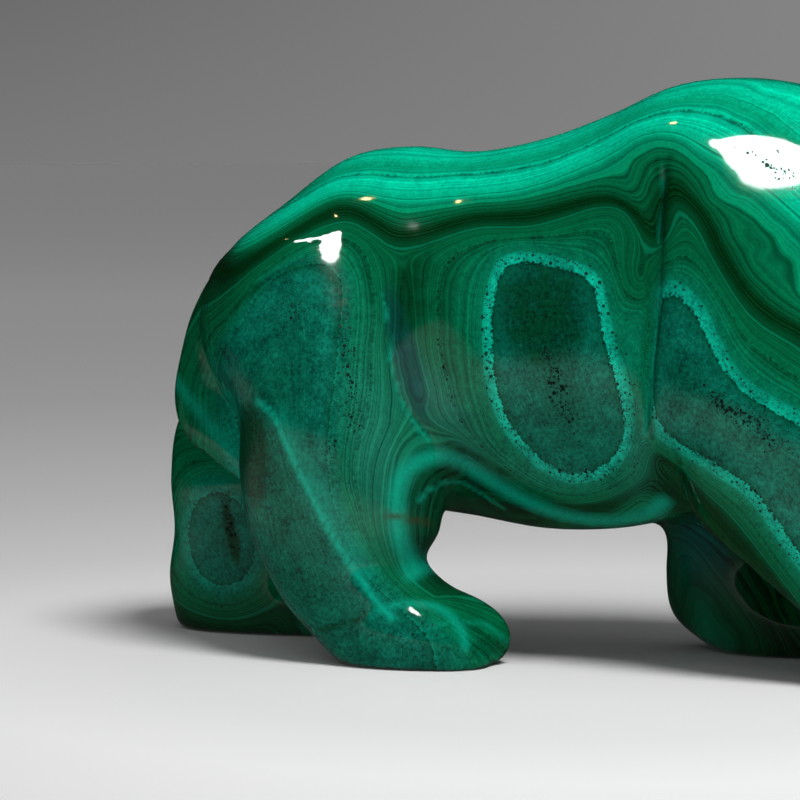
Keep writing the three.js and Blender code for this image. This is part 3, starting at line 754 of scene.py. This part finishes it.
keep("growth", level)
# dark clouds of the stone, with painted shade in hollows and creases
keep("murkAndShade", np.maximum(spotted(murkAndShadeSpots, points), lined(darkLines, points)))
keep("specks", spotted(speckledSpots, points))
# bright veins of the stone, and a painted highlight along the shoulder groove
keep("veinAndHighlight", lined(brightLines, points))
keep("milkAndReflection", spotted(milkAndReflectionSpots, points))
keep("slate", spotted(slateSpots, points))
keep("rust", lined(rustLines, points))
keep("glow", ringGlow(points))
say("spots, lines and rings")

# malachite: colours by the growth level, with rings, clouds, veins and specks laid over them, and with
# painted shade, a painted highlight and a painted reflection in some places

malachite = {
    "roughness": 0.06,
    "ior": 1.52,
    "specular": 0.5,
    "wanderNoise": (0.12, 2, 0.6),  # cells to a millimetre, detail and roughness of each noise
    "grainNoise": (2.2, 4, 0.75),
    "mottleNoise": (0.45, 5, 0.65),
    "bandNoise": (9, 4, 0.8),  # its cells are fine bands to one level
    "wander": 0.22,  # how far the bands are bent, in levels
    "ragged": 0.96,  # how far the grain moves a ring's edge, in levels
    "bandDepth": 3.6,
    "grainDepth": 3.0,
    "mottleDepth": 1.8,
    "darkestBand": 0.22,
    "darkestGrain": 0.3,
}

# black specks, in cells of random reach
specks = {
    "cells": (1.7, 3.4),  # to a millimetre, of the large and of the small
    "ragged": 0.25,  # how far the grain moves a speck's edge
    "widest": 1.2,  # of the room that the place leaves
    "sharpness": 10.0,
    "dullRoom": 0.3,  # share of the room on a dull ring
    "brightRoom": 0.7,  # what a bright ring adds to it
    "spotRoom": 0.55,  # room that the speckled spots add
    "roughness": 0.4,  # added by a speck
    "specular": -0.42,
}

# colours laid over the bands; the cloud colour also paints shade, the vein colour a highlight and the milk
# colour a reflection
tints = {
    "dullRing": (0.001, 0.085, 0.044, 1),
    "milkAndReflection": (0.016, 0.170, 0.118, 1),
    "slate": (0.004, 0.062, 0.056, 1),
    "cloudAndShade": (0.0006, 0.034, 0.010, 1),
    "veinAndHighlight": (0.003, 0.370, 0.240, 1),
    "rust": (0.030, 0.036, 0.012, 1),
    "speck": (0.0006, 0.006, 0.004, 1),
}

# the most that each of them covers
cover = {"milkAndReflection": 0.75, "slate": 0.9, "cloudAndShade": 0.85, "rust": 0.8, "speck": 0.92}

# how the dark green clouds, and the painted shade laid on the same way, grow out of their spots and lines
cloudAndShadeGrowth = {
    "gain": 1.2,
    "start": -0.22,
    "ragged": 2.6,
    "edge": 3.0,
}

# how much of the veins and the painted highlight shows, and how far the grain breaks them up
veinAndHighlightShow = {"show": 0.95, "grain": 1.3}

# level, colour, how much the fine bands show, how much the grain shows
zones = [
    [-3.2, (0.002, 0.095, 0.055), 0.35, 1],
    [-1.8, (0.002, 0.11, 0.068), 0.3, 1],
    [-0.9, (0.002, 0.125, 0.08), 0.3, 1],
    [-0.25, (0.0016, 0.1, 0.058), 0.25, 1],
    [-0.05, (0.001, 0.055, 0.026), 0.2, 1],
    [0.06, (0.003, 0.43, 0.285), 0.1, 1],
    [0.75, (0.0022, 0.33, 0.205), 0.2, 1],
    [1, (0.0012, 0.15, 0.074), 0.5, 0.7],
    [1.9, (0.001, 0.122, 0.052), 0.6, 0.6],
    [2.02, (0.0006, 0.07, 0.028), 0.5, 1],
    [2.15, (0.0006, 0.118, 0.046), 0.8, 0.4],
    [2.9, (0.0006, 0.088, 0.031), 0.9, 0.2],
    [3, (0.0012, 0.15, 0.07), 0.3, 0.2],
    [3.12, (0.0006, 0.06, 0.02), 0.8, 0.2],
    [3.6, (0.0006, 0.034, 0.009), 0.8, 0.2],
    [4, (0.0006, 0.026, 0.005), 0.9, 0.2],
    [4.25, (0.0006, 0.048, 0.015), 1, 0.2],
    [4.6, (0.0006, 0.125, 0.048), 1, 0.2],
    [5, (0.0006, 0.31, 0.165), 0.9, 0.3],
    [5.4, (0.0006, 0.45, 0.26), 0.6, 0.4],
    [5.86, (0.0006, 0.47, 0.275), 0.6, 0.5],
    [5.95, (0.0008, 0.12, 0.068), 0.5, 1],
    [6.05, (0.0006, 0.4, 0.225), 0.7, 0.5],
    [6.35, (0.0006, 0.24, 0.12), 0.8, 0.4],
    [6.65, (0.0006, 0.42, 0.24), 0.6, 0.4],
    [7, (0.0006, 0.54, 0.32), 0.5, 0.3],
]

# level, how much of the raggedness shows there
raggedShares = [[-0.4, 0.3], [-0.1, 1], [1, 1], [1.5, 0.35], [2.2, 0.5], [2.6, 0.08], [5.6, 0.08],
    [6, 0.25]]

# level, how much of a ring it belongs to
ringShares = [[-0.02, 0], [0.06, 1], [0.8, 1], [1.2, 0]]

# level, room for specks
speckRooms = [[-1.2, 0], [-0.3, 0.25], [0, 0.5], [0.9, 0.44], [1.2, 0.12], [1.9, 0.2], [2.1, 0.5],
    [2.3, 0], [5.9, 0], [6, 0.5], [6.1, 0]]

lowest, highest = -3.5, 7.5  # levels that the ramps span

stone = bpy.data.materials.new("malachite")
stone.use_nodes = True
tree = stone.node_tree  # where the functions below add their nodes


# a new node with its settings
def node(kind, **values):
    made = tree.nodes.new(kind)
    for key, value in values.items():
        setattr(made, key, value)
    return made


# links a socket to another one, or sets it to a value
def put(socket, value):
    if isinstance(value, bpy.types.NodeSocket):
        tree.links.new(value, socket)
    else:
        socket.default_value = value


# one step of arithmetic: a, b and c are sockets or numbers, and MULTIPLY_ADD is a b + c
def calc(operation, a, b=0.0, c=0.0, clamp=False):
    made = node("ShaderNodeMath", operation=operation, use_clamp=clamp)
    for socket, value in zip(made.inputs, (a, b, c)):
        put(socket, value)
    return made.outputs[0]


# a number that keep() stored on the mesh
def stored(name):
    return node("ShaderNodeAttribute", attribute_name=name).outputs["Fac"]


# noise in the stone, or along w where that is given
def noise(scale, detail, roughness, w=None):
    made = node("ShaderNodeTexNoise", noise_dimensions="3D" if w is None else "1D")
    for name, value in (("Scale", scale), ("Detail", detail), ("Roughness", roughness)):
        made.inputs[name].default_value = value
    if w is None:
        tree.links.new(onObject, made.inputs["Vector"])
    else:
        put(made.inputs["W"], w)
    return made.outputs["Fac"]


# the same about zero, with its cells counted to a millimetre: noise - 0.5
def swing(cells, detail, roughness):
    return calc("SUBTRACT", noise(cells * perMillimetre, detail, roughness), 0.5)


# straight lines between the stops, which are rows of where and what, a colour or a grey
def ramp(value, stops, low=lowest, high=highest):
    scaled = node("ShaderNodeMapRange")
    put(scaled.inputs["Value"], value)
    scaled.inputs["From Min"].default_value = low
    scaled.inputs["From Max"].default_value = high
    made = node("ShaderNodeValToRGB")
    while len(made.color_ramp.elements) < len(stops):
        made.color_ramp.elements.new(0.5)
    for element, (at, color) in zip(made.color_ramp.elements, stops):
        element.position = (at - low) / (high - low)
        element.color = tuple(color) + (1,) if isinstance(color, tuple) else (color, color, color, 1)
    tree.links.new(scaled.outputs["Result"], made.inputs["Fac"])
    return made.outputs["Color"]


# colours a and b mixed by the factor: MIX is a (1 - factor) + b factor, MULTIPLY is a b
def mix(kind, factor, a, b):
    made = node("ShaderNodeMix", data_type="RGBA", blend_type=kind)
    for k, value in ((0, factor), (6, a), (7, b)):  # the sockets for colours are 6 and 7
        put(made.inputs[k], value)
    return made.outputs[2]


onObject = node("ShaderNodeTexCoord").outputs["Object"]
perMillimetre = 1 / mm
growthLevel = stored("growth")
wander = calc("MULTIPLY", swing(*malachite["wanderNoise"]), malachite["wander"])
grain = swing(*malachite["grainNoise"])
mottle = swing(*malachite["mottleNoise"])
bentLevel = calc("ADD", growthLevel, wander)
ragged = calc("MULTIPLY", grain, ramp(growthLevel, raggedShares))
shifted = calc("MULTIPLY_ADD", ragged, malachite["ragged"], bentLevel)
zoneColor = ramp(shifted, [z[:2] for z in zones])
bandShow = ramp(shifted, [[z[0], z[2]] for z in zones])
grainShow = ramp(shifted, [[z[0], z[3]] for z in zones])

# light and dark of the fine bands, from noise along the level, and of the grain
fine = calc("SUBTRACT", noise(*malachite["bandNoise"], bentLevel), 0.5)
banded = calc("MULTIPLY_ADD", calc("MULTIPLY", fine, bandShow), malachite["bandDepth"], 1.0)
banded = calc("MAXIMUM", banded, malachite["darkestBand"])
grainLight = calc("MULTIPLY", grain, malachite["grainDepth"])
coarse = calc("MULTIPLY_ADD", mottle, malachite["mottleDepth"], grainLight)
grainy = calc("MAXIMUM", calc("MULTIPLY_ADD", coarse, grainShow, 1.0), malachite["darkestGrain"])
shade = calc("MULTIPLY", banded, grainy)
color = mix("MULTIPLY", 1.0, zoneColor, shade)


# a tint laid over a share of the colour, with the shade of the bands on it unless it is plain
def tinted(under, share, tint, plain=False):
    over = tints[tint] if plain else mix("MULTIPLY", 1.0, tints[tint], shade)
    return mix("MIX", share, under, over)


# rings are dull where they don't glow
dull = calc("MULTIPLY", ramp(shifted, ringShares), calc("SUBTRACT", 1.0, stored("glow")))
color = tinted(color, dull, "dullRing")
# milky and slate tints, the milky one partly a painted reflection
for name in ("milkAndReflection", "slate"):
    color = tinted(color, calc("MULTIPLY", stored(name), cover[name], clamp=True), name)

# clouds and painted shade: (murkAndShade gain + start + mottle ragged) murkAndShade edge, so that none grows
# outside its spot
murkAndShade = stored("murkAndShade")
cloudAndShade = calc("MULTIPLY_ADD", murkAndShade, cloudAndShadeGrowth["gain"], cloudAndShadeGrowth["start"])
cloudAndShade = calc("MULTIPLY_ADD", mottle, cloudAndShadeGrowth["ragged"], cloudAndShade, clamp=True)
cloudAndShade = calc("MULTIPLY", cloudAndShade, calc("MULTIPLY", murkAndShade, cloudAndShadeGrowth["edge"], clamp=True))
color = tinted(color, calc("MULTIPLY", cloudAndShade, cover["cloudAndShade"]), "cloudAndShade")
grainyVeinAndHighlight = calc("MULTIPLY_ADD", grain, veinAndHighlightShow["grain"], veinAndHighlightShow["show"])
color = tinted(color, calc("MULTIPLY", stored("veinAndHighlight"), grainyVeinAndHighlight, clamp=True), "veinAndHighlight", plain=True)
color = tinted(color, calc("MULTIPLY", stored("rust"), cover["rust"]), "rust", plain=True)


# how much of a speck covers each point: (chance room + grain ragged - distance) sharpness, its reach
# held under the widest that the room allows
def specksOf(perMillimetreCells, room):
    cells = node("ShaderNodeTexVoronoi", feature="F1")
    cells.inputs["Scale"].default_value = perMillimetreCells * perMillimetre
    tree.links.new(onObject, cells.inputs["Vector"])
    chance = node("ShaderNodeSeparateColor")
    tree.links.new(cells.outputs["Color"], chance.inputs[0])
    reach = calc("MULTIPLY_ADD", grain, specks["ragged"], calc("MULTIPLY", room, chance.outputs[0]))
    reach = calc("MINIMUM", reach, calc("MULTIPLY", room, specks["widest"]))
    covered = calc("SUBTRACT", reach, cells.outputs["Distance"])
    return calc("MULTIPLY", covered, specks["sharpness"], clamp=True)


ringShow = calc("MULTIPLY_ADD", stored("glow"), specks["brightRoom"], specks["dullRoom"])
ringRoom = calc("MULTIPLY", ramp(growthLevel, speckRooms), ringShow)
room = calc("MULTIPLY_ADD", stored("specks"), specks["spotRoom"], ringRoom)
large, small = (specksOf(size, room) for size in specks["cells"])
speck = calc("MAXIMUM", large, small)
color = tinted(color, calc("MULTIPLY", speck, cover["speck"]), "speck", plain=True)

polish = tree.nodes["Principled BSDF"].inputs
put(polish["Base Color"], color)
put(polish["IOR"], malachite["ior"])
put(polish["Roughness"], calc("MULTIPLY_ADD", speck, specks["roughness"], malachite["roughness"]))
put(polish["Specular IOR Level"], calc("MULTIPLY_ADD", speck, specks["specular"], malachite["specular"]))
mesh.materials.append(stone)
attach(panther, "root")
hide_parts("panther")
say("malachite")

# the studio: floor, wall, mirrored patches, lamps and camera, in mm and degrees

bpy.context.scene.view_settings.view_transform = "Standard"

studio = {
    "lens": 187.2,
    "cameraAt": (136.3, -506.0, 76.0),
    "azimuth": 18.3,
    "pitch": 4.7,
    "sensorWidth": 36,
    "clipStart": 10,
    "floorRadius": 2600,
    "wallRadius": 2500,
    "wallReach": (-500, 5000),  # from its foot to its head
    "sides": 36,  # of the floor, the wall and the patches' disc
    "paperRoughness": 0.6,
    "footGreys": (0.190, 0.225),  # of the wall, at the left and at the right of the picture
    "headGreys": (0.146, 0.225),
    "gradeAcross": (-1100, -530),  # where these greys stand on the wall
    "gradeUp": (0, 120),
    "airGrey": 0.004,
    "softboxAt": (20, -560, 590),  # seen in the polish alone
    "softboxSize": (300, 170),
    "softboxEnergy": 4.4,
    "glintAt": (-320, -290, 700),  # small warm lamp, seen in the polish alone
    "glintSize": (44, 26),
    "glintEnergy": 0.14,
    "glintColor": (1.0, 0.66, 0.30),
    "overheadAt": (190, -200, 510),
    "overheadSize": (200, 200),
    "overheadEnergy": 3.0,
    "fillAt": (0, -1100, 1700),
    "fillEnergy": 0.90,
    "fillAngle": 120,
    "aimAt": (0, 0, 30),  # where all lamps point
    "patchRadius": 900,
    "patchDrop": 0.2,  # how far the patches lie under the floor
}

# distance from the carving, grey of the paper, which also paints how the lamps' light falls off and pools
# over the floor
paperGreysAndPaintedLight = [[0, 0.8], [60, 0.78], [90, 0.85], [130, 0.76], [205, 0.72], [410, 0.74], [800, 0.95],
    [2600, 0.97]]

# light patches that only the polish mirrors: middle on the floor, half sizes, strength
bounces = [
    [-60, -190, 190, 120, 0.36],
    [-170, -50, 75, 60, 0.28],
    [-640, -40, 250, 130, 0.1],
]


# a matt black surface that can glow white; gives the material and its shader's sockets
def mattSurface(name):
    made = bpy.data.materials.new(name)
    made.use_nodes = True
    sockets = made.node_tree.nodes["Principled BSDF"].inputs
    sockets["Base Color"].default_value = (0, 0, 0, 1)
    sockets["Emission Color"].default_value = (1, 1, 1, 1)
    sockets["Roughness"].default_value = studio["paperRoughness"]
    return made, sockets


# a piece of the stage from its points and faces
def staged(name, verts, faces, material):
    stageMesh = bpy.data.meshes.new(name)
    stageMesh.from_pydata(verts.tolist(), [], faces)
    stageMesh.materials.append(material)
    made = bpy.data.objects.new(name, stageMesh)
    bpy.context.scene.collection.objects.link(made)
    return made


sides = studio["sides"]
turns = 2 * math.pi * np.arange(sides) / sides
rim = np.column_stack([np.cos(turns), np.sin(turns), 0 * turns]) * mm
disc = [list(range(sides))]

# round floor, its grey by the distance from the carving, with the fall-off of the light painted into it
paperAndPaintedLight, sockets = mattSurface("palePaperWithPaintedLight")
tree = paperAndPaintedLight.node_tree
away = node("ShaderNodeVectorMath", operation="LENGTH")
tree.links.new(node("ShaderNodeTexCoord").outputs["Object"], away.inputs[0])
inMillimetres = calc("MULTIPLY", away.outputs["Value"], perMillimetre)
put(sockets["Base Color"], ramp(inMillimetres, paperGreysAndPaintedLight, 0, studio["floorRadius"]))
floor = staged("floor", rim * studio["floorRadius"], disc, paperAndPaintedLight)
floor.visible_glossy = False


# a value between two as a coordinate goes from the one place to the other
def graded(coordinate, places, first, last):
    span = node("ShaderNodeMapRange")
    put(span.inputs["Value"], coordinate)
    low, high = (place * mm for place in places)
    for name, value in zip(("From Min", "From Max", "To Min", "To Max"), (low, high, first, last)):
        put(span.inputs[name], value)
    return span.outputs["Result"]


# round wall that glows grey, and that no reflection shows
wallGlow, sockets = mattSurface("greyGlow")
tree = wallGlow.node_tree
onWall = node("ShaderNodeSeparateXYZ")
tree.links.new(node("ShaderNodeTexCoord").outputs["Object"], onWall.inputs[0])
atFoot = graded(onWall.outputs["X"], studio["gradeAcross"], *studio["footGreys"])
atHead = graded(onWall.outputs["X"], studio["gradeAcross"], *studio["headGreys"])
put(sockets["Emission Strength"], graded(onWall.outputs["Z"], studio["gradeUp"], atFoot, atHead))
wallVerts = np.vstack([rim * studio["wallRadius"] + [0, 0, z * mm] for z in studio["wallReach"]])
wallFaces = [[k, k + sides, (k + 1) % sides + sides, (k + 1) % sides] for k in range(sides)]
wall = staged("wall", wallVerts, wallFaces, wallGlow)
wall.visible_glossy = wall.visible_diffuse = wall.visible_shadow = False

# glow of the mirrored patches: sum of strength * exp(-r^2), r in half sizes
patchGlow, sockets = mattSurface("patchGlow")
tree = patchGlow.node_tree
onDisc = node("ShaderNodeTexCoord").outputs["Object"]
glowing = 0.0
for x, y, halfX, halfY, strength in bounces:
    moved = node("ShaderNodeMapping", vector_type="TEXTURE")
    moved.inputs["Location"].default_value = (x * mm, y * mm, 0)
    moved.inputs["Scale"].default_value = (halfX * mm, halfY * mm, 1)
    tree.links.new(onDisc, moved.inputs["Vector"])
    square = node("ShaderNodeVectorMath", operation="DOT_PRODUCT")
    for socket in square.inputs[:2]:
        tree.links.new(moved.outputs["Vector"], socket)
    patch = calc("POWER", math.exp(-1), square.outputs["Value"])
    glowing = calc("MULTIPLY_ADD", patch, strength, glowing)
put(sockets["Emission Strength"], glowing)
patchVerts = rim * studio["patchRadius"] - [0, 0, studio["patchDrop"] * mm]
patches = staged("mirroredPatches", patchVerts, disc, patchGlow)
patches.visible_camera = patches.visible_diffuse = patches.visible_shadow = False

world = bpy.data.worlds.new("studioAir")
world.use_nodes = True
world.node_tree.nodes["Background"].inputs["Color"].default_value = (studio["airGrey"],) * 3 + (1,)
bpy.context.scene.world = world


# a lamp that points at the carving: an ellipse where it has a size, or else a sun
def lamp(name, size=None):
    source = bpy.data.lights.new(name, "AREA" if size else "SUN")
    source.energy = studio[name + "Energy"]
    if size:
        source.shape = "ELLIPSE"
        source.size, source.size_y = size[0] * mm, size[1] * mm
    made = bpy.data.objects.new(name, source)
    made.location = Vector(studio[name + "At"]) * mm
    aim = Vector(studio["aimAt"]) * mm
    made.rotation_euler = (aim - made.location).to_track_quat("-Z", "Y").to_euler()
    bpy.context.scene.collection.objects.link(made)
    return made


softbox, glint, overhead = (lamp(name, studio[name + "Size"]) for name in ("softbox", "glint", "overhead"))
glint.data.color = studio["glintColor"]
softbox.visible_diffuse = glint.visible_diffuse = False
fill = lamp("fill")
fill.data.angle = math.radians(studio["fillAngle"])
overhead.visible_glossy = fill.visible_glossy = False

camera = bpy.data.cameras.new("camera")
camera.sensor_width = studio["sensorWidth"]
camera.lens = studio["lens"]
camera.clip_start = studio["clipStart"] * mm
azimuth, pitch = math.radians(studio["azimuth"]), math.radians(studio["pitch"])
forward = Vector(
    (-math.sin(azimuth) * math.cos(pitch), math.cos(azimuth) * math.cos(pitch), -math.sin(pitch))
)
cameraObject = bpy.data.objects.new("camera", camera)
cameraObject.location = Vector(studio["cameraAt"]) * mm
cameraObject.rotation_euler = forward.to_track_quat("-Z", "Y").to_euler()
bpy.context.scene.collection.objects.link(cameraObject)
bpy.context.scene.camera = cameraObject

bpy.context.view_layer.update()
say("done")
